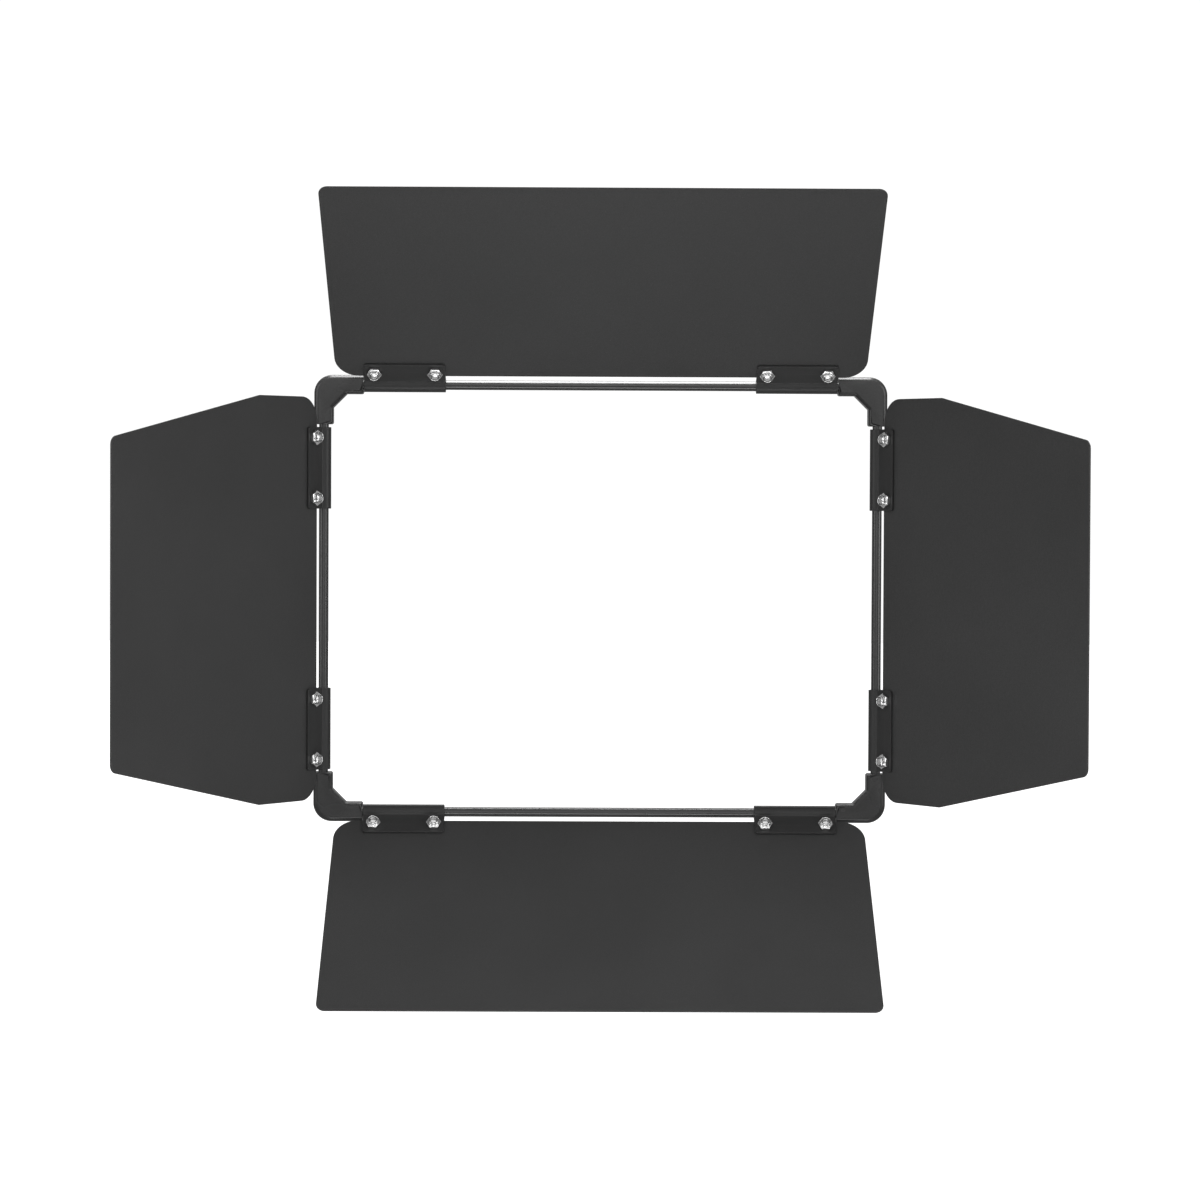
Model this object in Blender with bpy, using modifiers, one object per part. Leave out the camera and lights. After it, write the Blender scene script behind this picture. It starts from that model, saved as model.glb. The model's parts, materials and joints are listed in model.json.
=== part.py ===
"""Four-leaf barndoor set for a panel light.

Four round rods plugged into four elbows make a rectangular frame. A flat leaf swings on each rod: two
folded clips wrap the rod and pinch the leaf between their flanges, and screws with lock nuts close them.
X is to the right seen from the front, Z is up, and the front looks along -Y. The origin is the centre of
the bounding box with the leaves at rest, which is in the middle of the light window.
"""

import math

import bmesh
import bpy
from mathutils import Euler, Matrix, Vector

# Rod frame, in metres: distances between the rod axes.
FRAME_WIDTH = 0.2855
FRAME_HEIGHT = 0.2204
ROD_RADIUS = 0.0025

# Elbows. Their sides are measured from the rod axes, and their ends from where the two axes cross.
ELBOW_OUTER = 0.005
ELBOW_INNER = 0.0048
ELBOW_ARM = 0.0204
ELBOW_GUSSET = 0.007
ELBOW_OUTER_CORNER = 0.0095
ELBOW_FRONT = 0.004
ELBOW_BACK = 0.008
ELBOW_FRONT_ROUNDING = 0.0014
ELBOW_BACK_ROUNDING = 0.0005
SOCKET_BOTTOM = 0.006
SOCKET_CLEARANCE = 0.0002

# Set screws that hold the rods, in the back of each elbow arm.
SET_SCREW_RADIUS = 0.0015
SET_SCREW_FROM_CROSSING = 0.0145
SET_SCREW_CLEARANCE = 0.00015
SET_SCREW_RECESS = 0.0006
SET_SCREW_ROD_GAP = 0.0003

# Leaves: distances out from the rod axis, and half lengths along it.
LEAF_SHEET = 0.001
LEAF_INNER_EDGE = 0.0064
WIDE_LEAF_REACH = 0.131
WIDE_LEAF_INNER_HALF = 0.1364
WIDE_LEAF_OUTER_HALF = 0.1412
WIDE_LEAF_OUTER_CORNER = 0.0045
SIDE_LEAF_REACH = 0.1703
SIDE_LEAF_HALF = 0.1037
SIDE_LEAF_TIP_HALF = 0.081
SIDE_LEAF_TAPER_START = 0.054
SIDE_LEAF_OUTER_CORNER = 0.0045
SIDE_LEAF_TAPER_CORNER = 0.0015
LEAF_INNER_CORNER = 0.0125

# How far each leaf is swung forward, from flat in the plane of the frame.
TOP_LEAF_TILT = math.radians(43.3)
BOTTOM_LEAF_TILT = math.radians(45.5)
LEFT_LEAF_TILT = math.radians(56.3)
RIGHT_LEAF_TILT = math.radians(57.2)

# Clips folded from one strip round the rod.
CLIP_SHEET = 0.001
CLIP_LENGTH = 0.042
CLIP_LOOP_CLEARANCE = 0.0003
CLIP_LEAF_CLEARANCE = 0.0002
CLIP_REACH = 0.01515
CLIP_CREASE = 0.0015
CLIP_CORNER = 0.0016
WIDE_CLIP_OFFSET = 0.101
SIDE_CLIP_OFFSET = 0.06725

# M4 screws with lock nuts, through the clips and the leaf.
SCREW_RADIUS = 0.002
SCREW_HOLE_RADIUS = 0.0022
SCREW_FROM_ROD = 0.010
SCREW_PITCH = 0.0312
SCREW_HEAD_RADIUS = 0.0039
SCREW_HEAD_HEIGHT = 0.0022
SEAT_GAP = 0.0001
NUT_ACROSS_FLATS = 0.007
NUT_HEX_HEIGHT = 0.0026
NUT_COLLAR_RADIUS = 0.0029
NUT_HEIGHT = 0.0036
NUT_BORE_RADIUS = 0.0021

CORNER_STEPS = 5
ROUND_STEPS = 24
FASTENER_STEPS = 12
WELD_DISTANCE = 0.000001
OVERCUT = 0.001

CLIP_FACE = LEAF_SHEET / 2 + CLIP_LEAF_CLEARANCE + CLIP_SHEET


def leaf_outward(reach, tilt):
    """How far a swung leaf stands out past its rod."""
    return reach * math.cos(tilt) + LEAF_SHEET / 2 * math.sin(tilt)


def leaf_forward(reach, tilt):
    """How far a swung leaf stands forward of its rod."""
    return reach * math.sin(tilt) + LEAF_SHEET / 2 * math.cos(tilt)


# Where the middle of the rod frame lies, so that the whole set is centred on the origin.
ROD_CENTRE = Vector(
    (
        (leaf_outward(SIDE_LEAF_REACH, LEFT_LEAF_TILT) - leaf_outward(SIDE_LEAF_REACH, RIGHT_LEAF_TILT)) / 2,
        (leaf_forward(SIDE_LEAF_REACH, RIGHT_LEAF_TILT) - ELBOW_BACK) / 2,
        (leaf_outward(WIDE_LEAF_REACH, BOTTOM_LEAF_TILT) - leaf_outward(WIDE_LEAF_REACH, TOP_LEAF_TILT)) / 2,
    )
)

# Each side: name, turn about Y that carries the top of the frame there, distance of its rod from the
# middle, leaf tilt and clip offset.
SIDES = (
    ("top", 0, FRAME_HEIGHT / 2, TOP_LEAF_TILT, WIDE_CLIP_OFFSET),
    ("bottom", 180, FRAME_HEIGHT / 2, BOTTOM_LEAF_TILT, WIDE_CLIP_OFFSET),
    ("left", -90, FRAME_WIDTH / 2, LEFT_LEAF_TILT, SIDE_CLIP_OFFSET),
    ("right", 90, FRAME_WIDTH / 2, RIGHT_LEAF_TILT, SIDE_CLIP_OFFSET),
)
# Each corner: name, sign of X, sign of Z, and the turn about Y of an elbow whose arms point to +X and +Z.
CORNERS = (
    ("bottom_left", -1, -1, 0),
    ("top_left", -1, 1, 90),
    ("top_right", 1, 1, 180),
    ("bottom_right", 1, -1, 270),
)


def clear_scene():
    for obj in list(bpy.data.objects):
        bpy.data.objects.remove(obj, do_unlink=True)


def make_collection(name):
    collection = bpy.data.collections.new(name)
    bpy.context.scene.collection.children.link(collection)
    return collection


def make_material(name, colour, metallic, roughness):
    material = bpy.data.materials.new(name)
    material.use_nodes = True
    shader = material.node_tree.nodes["Principled BSDF"]
    shader.inputs["Base Color"].default_value = (*colour, 1)
    shader.inputs["Metallic"].default_value = metallic
    shader.inputs["Roughness"].default_value = roughness
    return material


def arc(centre, radius, start, end, steps):
    """Points on an arc, both ends included. Angles are in radians."""
    angles = [start + (end - start) * step / steps for step in range(steps + 1)]
    return [(centre[0] + radius * math.cos(a), centre[1] + radius * math.sin(a)) for a in angles]


def rounded_outline(corners):
    """A closed outline through corners (x, y, radius), each rounded by an arc of its radius."""
    outline = []
    for index, (x, y, radius) in enumerate(corners):
        corner = Vector((x, y))
        before = (Vector(corners[index - 1][:2]) - corner).normalized()
        after = (Vector(corners[(index + 1) % len(corners)][:2]) - corner).normalized()
        if radius == 0:
            outline.append((x, y))
            continue
        half_angle = before.angle(after) / 2
        centre = corner + (before + after).normalized() * radius / math.sin(half_angle)
        start = corner + before * radius / math.tan(half_angle) - centre
        end = corner + after * radius / math.tan(half_angle) - centre
        first = math.atan2(start.y, start.x)
        turn = math.remainder(math.atan2(end.y, end.x) - first, 2 * math.pi)
        outline += arc(centre, radius, first, first + turn, CORNER_STEPS)
    return outline


def evaluated_copy(obj, name):
    """The object's evaluated shape as a welded mesh. The object is removed."""
    graph = bpy.context.evaluated_depsgraph_get()
    graph.update()
    mesh = bpy.data.meshes.new_from_object(obj.evaluated_get(graph))
    mesh.name = name
    bm = bmesh.new()
    bm.from_mesh(mesh)
    bmesh.ops.remove_doubles(bm, verts=bm.verts, dist=WELD_DISTANCE)
    bmesh.ops.dissolve_limit(bm, angle_limit=math.radians(0.1), verts=bm.verts, edges=bm.edges)
    bmesh.ops.recalc_face_normals(bm, faces=bm.faces)
    bm.to_mesh(mesh)
    bm.free()
    bpy.data.objects.remove(obj, do_unlink=True)
    return mesh


def curve_object(name, points, cyclic, fill, extrude):
    curve = bpy.data.curves.new(name, "CURVE")
    curve.dimensions = "2D"
    curve.fill_mode = fill
    curve.extrude = extrude
    spline = curve.splines.new("POLY")
    spline.points.add(len(points) - 1)
    for point, (x, y) in zip(spline.points, points):
        point.co = (x, y, 0, 1)
    spline.use_cyclic_u = cyclic
    return add_object(name, curve)


def add_object(name, data):
    obj = bpy.data.objects.new(name, data)
    bpy.context.scene.collection.objects.link(obj)
    return obj


def plate_mesh(name, outline, thickness):
    """A flat plate, its outline in XY, centred on Z = 0."""
    return evaluated_copy(curve_object(name, outline, True, "BOTH", thickness / 2), name)


def cylinder_mesh(name, radius, low, high, steps):
    """A cylinder along Z from low to high."""
    mesh = bpy.data.meshes.new(name)
    bm = bmesh.new()
    bmesh.ops.create_cone(
        bm,
        cap_ends=True,
        segments=steps,
        radius1=radius,
        radius2=radius,
        depth=high - low,
        matrix=Matrix.Translation((0, 0, (low + high) / 2)),
    )
    bm.to_mesh(mesh)
    bm.free()
    return mesh


def turned_mesh(name, profile, closed):
    """A shape turned about Z. The profile (radius, height) runs down the outer side."""
    mesh = bpy.data.meshes.new(name)
    points = [(radius, 0, height) for radius, height in profile]
    edges = [(index, index + 1) for index in range(len(points) - 1)]
    if closed:
        edges.append((len(points) - 1, 0))
    mesh.from_pydata(points, edges, [])
    obj = add_object(name, mesh)
    screw = obj.modifiers.new("turn", "SCREW")
    screw.steps = FASTENER_STEPS
    screw.render_steps = FASTENER_STEPS
    screw.use_merge_vertices = True
    screw.merge_threshold = WELD_DISTANCE
    return evaluated_copy(obj, name)


def combine(mesh, name, cuts):
    """The mesh after Booleans, each (operation, mesh, matrix)."""
    obj = add_object(name, mesh)
    cutters = []
    for operation, cutter_mesh, matrix in cuts:
        cutter = bpy.data.objects.new(name + "_cutter", cutter_mesh)
        cutter.matrix_world = matrix
        cutter.hide_render = True
        cutter.display_type = "WIRE"
        CUTTERS.objects.link(cutter)
        cutters.append(cutter)
        modifier = obj.modifiers.new("cut", "BOOLEAN")
        modifier.operation = operation
        modifier.solver = "EXACT"
        modifier.object = cutter
    result = evaluated_copy(obj, name)
    for cutter in cutters:
        bpy.data.objects.remove(cutter, do_unlink=True)
    return result


def smooth(mesh, angle):
    mesh.shade_smooth()
    mesh.set_sharp_from_angle(angle=math.radians(angle))


def screw_holes(positions, radius, reach):
    """Cuts for holes along Z at positions (x, y)."""
    cutter = cylinder_mesh("hole", radius, -reach, reach, FASTENER_STEPS)
    return [("DIFFERENCE", cutter, Matrix.Translation((x, y, 0))) for x, y in positions]


def screw_positions(clip_offset):
    """Where a leaf's four screws stand along its rod."""
    return [
        side * clip_offset + step * SCREW_PITCH / 2
        for side in (-1, 1)
        for step in (-1, 1)
    ]


def leaf_mesh(name, corners, clip_offset):
    plate = plate_mesh(name, rounded_outline(corners), LEAF_SHEET)
    positions = [(along, SCREW_FROM_ROD) for along in screw_positions(clip_offset)]
    return combine(plate, name, screw_holes(positions, SCREW_HOLE_RADIUS, LEAF_SHEET))


def wide_leaf_mesh():
    corners = [
        (-WIDE_LEAF_INNER_HALF, LEAF_INNER_EDGE, LEAF_INNER_CORNER),
        (WIDE_LEAF_INNER_HALF, LEAF_INNER_EDGE, LEAF_INNER_CORNER),
        (WIDE_LEAF_OUTER_HALF, WIDE_LEAF_REACH, WIDE_LEAF_OUTER_CORNER),
        (-WIDE_LEAF_OUTER_HALF, WIDE_LEAF_REACH, WIDE_LEAF_OUTER_CORNER),
    ]
    return leaf_mesh("wide_leaf", corners, WIDE_CLIP_OFFSET)


def side_leaf_mesh():
    corners = [
        (-SIDE_LEAF_HALF, LEAF_INNER_EDGE, LEAF_INNER_CORNER),
        (SIDE_LEAF_HALF, LEAF_INNER_EDGE, LEAF_INNER_CORNER),
        (SIDE_LEAF_HALF, SIDE_LEAF_TAPER_START, SIDE_LEAF_TAPER_CORNER),
        (SIDE_LEAF_TIP_HALF, SIDE_LEAF_REACH, SIDE_LEAF_OUTER_CORNER),
        (-SIDE_LEAF_TIP_HALF, SIDE_LEAF_REACH, SIDE_LEAF_OUTER_CORNER),
        (-SIDE_LEAF_HALF, SIDE_LEAF_TAPER_START, SIDE_LEAF_TAPER_CORNER),
    ]
    return leaf_mesh("side_leaf", corners, SIDE_CLIP_OFFSET)


def clip_fold():
    """The middle line of the folded strip: out along one flange, round the rod, back along the other."""
    loop = ROD_RADIUS + CLIP_LOOP_CLEARANCE + CLIP_SHEET / 2
    flange = CLIP_FACE - CLIP_SHEET / 2
    crease_height = flange + CLIP_CREASE
    crease_out = math.sqrt((loop + CLIP_CREASE) ** 2 - crease_height**2)
    lean = math.atan2(crease_height, crease_out)
    down = -math.pi / 2
    side = [(CLIP_REACH + OVERCUT, flange)]
    side += arc((crease_out, crease_height), CLIP_CREASE, down, lean - math.pi, CORNER_STEPS)
    half_loop = arc((0, 0), loop, lean, math.pi, ROUND_STEPS // 2)[1:]
    upper = side + half_loop
    lower = [(out, -height) for out, height in reversed(upper[:-1])]
    return upper + lower


def clip_mesh():
    """A clip, its loop round X and its flanges towards +Y, above and below the leaf."""
    ribbon = curve_object("clip", clip_fold(), False, "NONE", CLIP_LENGTH / 2 + OVERCUT)
    strip = add_object("clip_strip", evaluated_copy(ribbon, "clip_strip"))
    solid = strip.modifiers.new("thickness", "SOLIDIFY")
    solid.thickness = CLIP_SHEET
    solid.offset = 0
    solid.use_even_offset = True
    folded = evaluated_copy(strip, "clip_folded")
    # The fold was drawn out along X and up along Y: turn it to out along Y and up along Z.
    folded.transform(Matrix(((0, 0, 1, 0), (1, 0, 0, 0), (0, 1, 0, 0), (0, 0, 0, 1))))
    behind = -2 * CLIP_REACH
    half = CLIP_LENGTH / 2
    blank = rounded_outline(
        [
            (-half, behind, 0),
            (half, behind, 0),
            (half, CLIP_REACH, CLIP_CORNER),
            (-half, CLIP_REACH, CLIP_CORNER),
        ]
    )
    trim = plate_mesh("clip_blank", blank, 4 * CLIP_REACH)
    positions = [(step * SCREW_PITCH / 2, SCREW_FROM_ROD) for step in (-1, 1)]
    cuts = [("INTERSECT", trim, Matrix.Identity(4))]
    cuts += screw_holes(positions, SCREW_HOLE_RADIUS, CLIP_REACH)
    mesh = combine(folded, "clip", cuts)
    smooth(mesh, 30)
    return mesh


def screw_mesh():
    """A pan-head screw along Z, its shank through Z = 0 and its head below the rear flange."""
    underside = -CLIP_FACE - SEAT_GAP
    crown = underside - SCREW_HEAD_HEIGHT
    tip = CLIP_FACE + SEAT_GAP + NUT_HEIGHT
    rim = underside - SCREW_HEAD_HEIGHT * 0.35
    shoulder = underside - SCREW_HEAD_HEIGHT * 0.85
    profile = [
        (0, tip),
        (SCREW_RADIUS, tip),
        (SCREW_RADIUS, underside),
        (SCREW_HEAD_RADIUS, underside),
        (SCREW_HEAD_RADIUS, rim),
        (SCREW_HEAD_RADIUS * 0.8, shoulder),
        (0, crown),
    ]
    mesh = turned_mesh("screw", profile, False)
    smooth(mesh, 40)
    return mesh


def nut_mesh():
    """A lock nut along Z, seated above Z = 0: a hexagon with a round collar on top."""
    corner_radius = NUT_ACROSS_FLATS / math.sqrt(3)
    profile = [
        (NUT_BORE_RADIUS, NUT_HEIGHT),
        (NUT_COLLAR_RADIUS, NUT_HEIGHT),
        (NUT_COLLAR_RADIUS, NUT_HEX_HEIGHT),
        (NUT_ACROSS_FLATS / 2, NUT_HEX_HEIGHT),
        (corner_radius, NUT_HEX_HEIGHT * 0.85),
        (corner_radius, 0),
        (NUT_BORE_RADIUS, 0),
    ]
    turned = turned_mesh("nut_turned", profile, True)
    hexagon = cylinder_mesh("nut_hexagon", corner_radius, -OVERCUT, NUT_HEIGHT + OVERCUT, 6)
    mesh = combine(turned, "nut", [("INTERSECT", hexagon, Matrix.Identity(4))])
    smooth(mesh, 25)
    return mesh


def round_long_edges(mesh, height, radius, segments):
    """Rounds the edges that lie at a height of Z, all but those across the ends of the arms."""
    bm = bmesh.new()
    bm.from_mesh(mesh)
    ends = ELBOW_ARM - WELD_DISTANCE
    edges = []
    for edge in bm.edges:
        a, b = edge.verts[0].co, edge.verts[1].co
        level = abs(a.z - height) < WELD_DISTANCE and abs(b.z - height) < WELD_DISTANCE
        across_end = (a.x > ends and b.x > ends) or (a.y > ends and b.y > ends)
        if level and not across_end:
            edges.append(edge)
    bmesh.ops.bevel(
        bm, geom=edges, offset=radius, segments=segments, profile=0.5, affect="EDGES", clamp_overlap=False
    )
    bm.to_mesh(mesh)
    bm.free()


def elbow_mesh():
    """An elbow with its axes crossing at the origin, its arms to +X and +Y and its front towards +Z."""
    inside = ELBOW_INNER + ELBOW_GUSSET
    outline = rounded_outline(
        [
            (-ELBOW_OUTER, -ELBOW_OUTER, ELBOW_OUTER_CORNER),
            (ELBOW_ARM, -ELBOW_OUTER, 0),
            (ELBOW_ARM, ELBOW_INNER, 0),
            (inside, ELBOW_INNER, 0),
            (ELBOW_INNER, inside, 0),
            (ELBOW_INNER, ELBOW_ARM, 0),
            (-ELBOW_OUTER, ELBOW_ARM, 0),
        ]
    )
    mesh = plate_mesh("elbow_blank", outline, ELBOW_FRONT + ELBOW_BACK)
    mesh.transform(Matrix.Translation((0, 0, (ELBOW_FRONT - ELBOW_BACK) / 2)))
    round_long_edges(mesh, ELBOW_FRONT, ELBOW_FRONT_ROUNDING, 3)
    round_long_edges(mesh, -ELBOW_BACK, ELBOW_BACK_ROUNDING, 1)
    socket = cylinder_mesh(
        "socket", ROD_RADIUS + SOCKET_CLEARANCE, SOCKET_BOTTOM, ELBOW_ARM + OVERCUT, ROUND_STEPS
    )
    tapped = cylinder_mesh(
        "tapped", SET_SCREW_RADIUS + SET_SCREW_CLEARANCE, 0, ELBOW_BACK + OVERCUT, FASTENER_STEPS
    )
    cuts = []
    for turn in (Matrix.Rotation(math.pi / 2, 4, "Y"), Matrix.Rotation(-math.pi / 2, 4, "X")):
        along = turn @ Vector((0, 0, SET_SCREW_FROM_CROSSING))
        backwards = Matrix.Translation(along) @ Matrix.Rotation(math.pi, 4, "X")
        cuts.append(("DIFFERENCE", socket, turn))
        cuts.append(("DIFFERENCE", tapped, backwards))
    mesh = combine(mesh, "elbow", cuts)
    smooth(mesh, 35)
    return mesh


def set_screw_mesh():
    """A set screw along Z, its point at the rod and its other end just below the back of the elbow."""
    point = ROD_RADIUS + SET_SCREW_ROD_GAP
    head = ELBOW_BACK - SET_SCREW_RECESS
    mesh = cylinder_mesh("set_screw", SET_SCREW_RADIUS, point, head, FASTENER_STEPS)
    smooth(mesh, 40)
    return mesh


def place(name, mesh, parent, matrix, material):
    """Adds one piece of the barndoor set. The matrix places it in its parent's frame."""
    obj = bpy.data.objects.new(name, mesh)
    PIECES.objects.link(obj)
    if not mesh.materials:
        mesh.materials.append(material)
    obj.parent = parent
    obj.matrix_local = matrix
    return obj


def add_empty(name, location, rotation):
    empty = bpy.data.objects.new(name, None)
    empty.location = location
    empty.rotation_euler = rotation
    empty.empty_display_size = ROD_RADIUS
    PIECES.objects.link(empty)
    return empty


def side_frame(turn_degrees, from_middle, tilt):
    """Where a side's rod stands, and the turn that gives X along it, Y out along its leaf and Z to the
    face of the leaf that looks at the light window."""
    turn = math.radians(turn_degrees)
    outward = Vector((math.sin(turn), 0, math.cos(turn)))
    location = ROD_CENTRE + outward * from_middle
    return location, Euler((math.pi / 2 + tilt, turn, 0))


def build_side(side, meshes, finishes):
    name, turn, from_middle, tilt, clip_offset = side
    location, rotation = side_frame(turn, from_middle, tilt)
    hinge = add_empty(name + "_hinge_axis", location, rotation)
    shape = "wide" if name in ("top", "bottom") else "side"
    along_x = Matrix.Rotation(math.pi / 2, 4, "Y")
    place(name + "_rod", meshes[shape + "_rod"], hinge, along_x, finishes["rod"])
    place(name + "_leaf", meshes[shape + "_leaf"], hinge, Matrix.Identity(4), finishes["leaf"])
    for number, way in enumerate((-1, 1), 1):
        shift = Matrix.Translation((way * clip_offset, 0, 0))
        place(f"{name}_clip_{number}", meshes["clip"], hinge, shift, finishes["clip"])
    for number, along in enumerate(screw_positions(clip_offset), 1):
        through = Matrix.Translation((along, SCREW_FROM_ROD, 0))
        seat = Matrix.Translation((along, SCREW_FROM_ROD, CLIP_FACE + SEAT_GAP))
        place(f"{name}_screw_{number}", meshes["screw"], hinge, through, finishes["screw"])
        place(f"{name}_nut_{number}", meshes["nut"], hinge, seat, finishes["nut"])


def build_corner(corner, meshes, finishes):
    name, sign_x, sign_z, turn = corner
    location = ROD_CENTRE + Vector((sign_x * FRAME_WIDTH / 2, 0, sign_z * FRAME_HEIGHT / 2))
    # An elbow mesh has its front to +Z: standing it up turns that to -Y and its second arm to +Z.
    rotation = Matrix.Rotation(math.radians(turn), 3, "Y") @ Matrix.Rotation(math.pi / 2, 3, "X")
    crossing = add_empty(name + "_crossing", location, rotation.to_euler())
    place(name + "_elbow", meshes["elbow"], crossing, Matrix.Identity(4), finishes["elbow"])
    backwards = Matrix.Rotation(math.pi, 4, "X")
    for number, (x, y) in enumerate(((SET_SCREW_FROM_CROSSING, 0), (0, SET_SCREW_FROM_CROSSING)), 1):
        matrix = Matrix.Translation((x, y, 0)) @ backwards
        place(f"{name}_set_screw_{number}", meshes["set_screw"], crossing, matrix, finishes["set_screw"])


def rod_mesh(name, spacing):
    half = spacing / 2 - SOCKET_BOTTOM - SOCKET_CLEARANCE
    mesh = cylinder_mesh(name, ROD_RADIUS, -half, half, ROUND_STEPS)
    smooth(mesh, 40)
    return mesh


def build():
    finishes = {
        "leaf": make_material("powder_coated_leaf", (0.040, 0.040, 0.042), 0.0, 0.62),
        "clip": make_material("powder_coated_clip", (0.036, 0.036, 0.038), 0.0, 0.55),
        "rod": make_material("black_rod", (0.020, 0.020, 0.021), 0.6, 0.35),
        "elbow": make_material("textured_elbow", (0.050, 0.050, 0.052), 0.0, 0.55),
        "screw": make_material("zinc_screw", (0.70, 0.70, 0.71), 1.0, 0.25),
        "nut": make_material("zinc_nut", (0.74, 0.74, 0.75), 1.0, 0.22),
        "set_screw": make_material("black_steel", (0.030, 0.030, 0.032), 0.8, 0.40),
    }
    meshes = {
        "wide_rod": rod_mesh("wide_rod", FRAME_WIDTH),
        "side_rod": rod_mesh("side_rod", FRAME_HEIGHT),
        "wide_leaf": wide_leaf_mesh(),
        "side_leaf": side_leaf_mesh(),
        "clip": clip_mesh(),
        "screw": screw_mesh(),
        "nut": nut_mesh(),
        "elbow": elbow_mesh(),
        "set_screw": set_screw_mesh(),
    }
    for side in SIDES:
        build_side(side, meshes, finishes)
    for corner in CORNERS:
        build_corner(corner, meshes, finishes)


clear_scene()
PIECES = make_collection("barndoor_set")
CUTTERS = make_collection("cutters")
build()
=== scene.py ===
"""Looks of the four-leaf barndoor set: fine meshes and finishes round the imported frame, with a studio."""

import json
import math

import bmesh
import bpy
from mathutils import Matrix, Vector


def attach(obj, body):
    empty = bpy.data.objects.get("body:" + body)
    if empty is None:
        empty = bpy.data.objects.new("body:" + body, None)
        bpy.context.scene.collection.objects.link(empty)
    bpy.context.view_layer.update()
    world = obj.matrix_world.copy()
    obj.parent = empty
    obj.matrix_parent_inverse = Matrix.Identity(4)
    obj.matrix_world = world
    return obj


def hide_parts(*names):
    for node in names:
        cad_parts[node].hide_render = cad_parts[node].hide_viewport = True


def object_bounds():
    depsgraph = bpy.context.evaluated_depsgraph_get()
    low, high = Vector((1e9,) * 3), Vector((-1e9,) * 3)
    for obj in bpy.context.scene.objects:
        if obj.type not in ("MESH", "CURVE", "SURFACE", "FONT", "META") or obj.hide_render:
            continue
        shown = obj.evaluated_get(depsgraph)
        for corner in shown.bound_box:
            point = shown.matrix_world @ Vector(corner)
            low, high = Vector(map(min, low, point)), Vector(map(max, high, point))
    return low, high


MM = 0.001

# Corners and edges of the sheet pieces.
LEAF_INNER_CORNER = 12.5 * MM
LEAF_OUTER_CORNER = 4.5 * MM
LEAF_EDGE_ROUNDING = 0.28 * MM
SIDE_LEAF_TAPER_START = 54.0 * MM
SIDE_LEAF_TIP_HALF = 81.0 * MM
SIDE_LEAF_TAPER_CORNER = 1.5 * MM
WIDE_LEAF_INNER_HALF = 136.4 * MM
CLIP_SHEET = 1.15 * MM
CLIP_CREASE = 1.5 * MM
CLIP_CORNER = 1.6 * MM
CLIP_EDGE_ROUNDING = 0.22 * MM
SCREW_HOLE_RADIUS = 2.15 * MM

# Elbows, measured from where the rod axes cross.
ELBOW_GUSSET = 7.0 * MM
ELBOW_OUTER_CORNER = 9.5 * MM
ELBOW_INNER = 4.8 * MM
ELBOW_OUTER_ROUNDING = 2.7 * MM
ELBOW_INNER_ROUNDING = 1.9 * MM
ELBOW_BACK_ROUNDING = 0.8 * MM
ELBOW_END_CORNER = 1.1 * MM
ELBOW_EDGE_ROUNDING = 0.3 * MM
SOCKET_DEPTH = 14.4 * MM
SET_SCREW_HEX = 1.5 * MM
SET_SCREW_HEX_DEPTH = 1.3 * MM
SET_SCREW_CLEARANCE = 0.12 * MM

# M4 fasteners.
THREAD_PITCH = 0.7 * MM
THREAD_DEPTH = 0.35 * MM
RECESS_WIDTH = 1.0 * MM
RECESS_SPAN = 4.4 * MM
RECESS_DEPTH = 1.3 * MM
SCREW_RADIUS = 1.96 * MM
SCREW_CHAMFER = 0.35 * MM
SCREW_END_DOME = 0.3 * MM
SCREW_HEAD_EDGE = 0.15 * MM
NUT_ACROSS_FLATS = 7.0 * MM
NUT_HEX_SHARE = 0.55
NUT_SEAT_GAP = 0.1 * MM
NUT_CROWN_INSET = 0.25 * MM
NUT_CHAMFER = math.radians(30)
NUT_EDGE_ROUNDING = 0.1 * MM
NUT_WAIST = 2.35 * MM
NUT_COLLAR = 2.72 * MM
NUT_COLLAR_ROLL = 0.36 * MM
NUT_BORE_CLEARANCE = 0.06 * MM
NYLON_OUTER = 2.4 * MM
NYLON_POCKET = 0.9 * MM

# How far each next fastener is turned from the one before it. The nuts keep their corners along the rod.
SCREW_TURN = math.radians(37)
NUT_TURN = math.radians(4)

CURVE_STEPS = 16
ROUND_STEPS = 64
NUT_STEPS = 72
END_STEPS = 6
HEAD_STEPS = 8
WELD_DISTANCE = 0.000001
OVERCUT = 1.0 * MM

# Camera, measured from the middle of the rod frame.
CAMERA_DISTANCE = 2.160
CAMERA_SIDE = -0.0176
CAMERA_HEIGHT = 0.0556
CAMERA_DOWN = math.radians(1.486)
CAMERA_TURN = math.radians(0.459)
CAMERA_ROLL = math.radians(0.244)
SENSOR_WIDTH = 36.0
FIELD_AT_RODS = 0.6196

# Surroundings: their brightness to the camera, and to the object from in front and from behind.
WHITE = 1.05
AMBIENT_FRONT = 1.05
AMBIENT_BACK = 0.31
FLOOR_HALF = 30.0
FLOOR_DROP = 0.9
FLOOR_TONE = 0.6

# Each light: its name, its place and its aim from the middle of the rods, width, height and power in watts.
LIGHTS = (
    ("overhead", (0, -0.5, 1.1), (0, 0, 0), 1.4, 0.8, 1.0),
    ("back", (0, 1.7, 1.6), (0, 0, 0), 1.8, 1.0, 16.0),
    ("front", (0, -2.6, 0.2), (0, 0, 0), 1.8, 1.4, 5.2),
    ("front_low", (0, -0.38, -0.42), (0, 0, 0.14), 0.40, 0.26, 1.35),
    ("left", (-1.0, -0.55, 0.25), (0, 0, 0), 0.7, 0.8, 4.2),
    ("right", (1.0, -0.55, 0.25), (0, 0, 0), 0.7, 0.8, 5.6),
)
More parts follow.
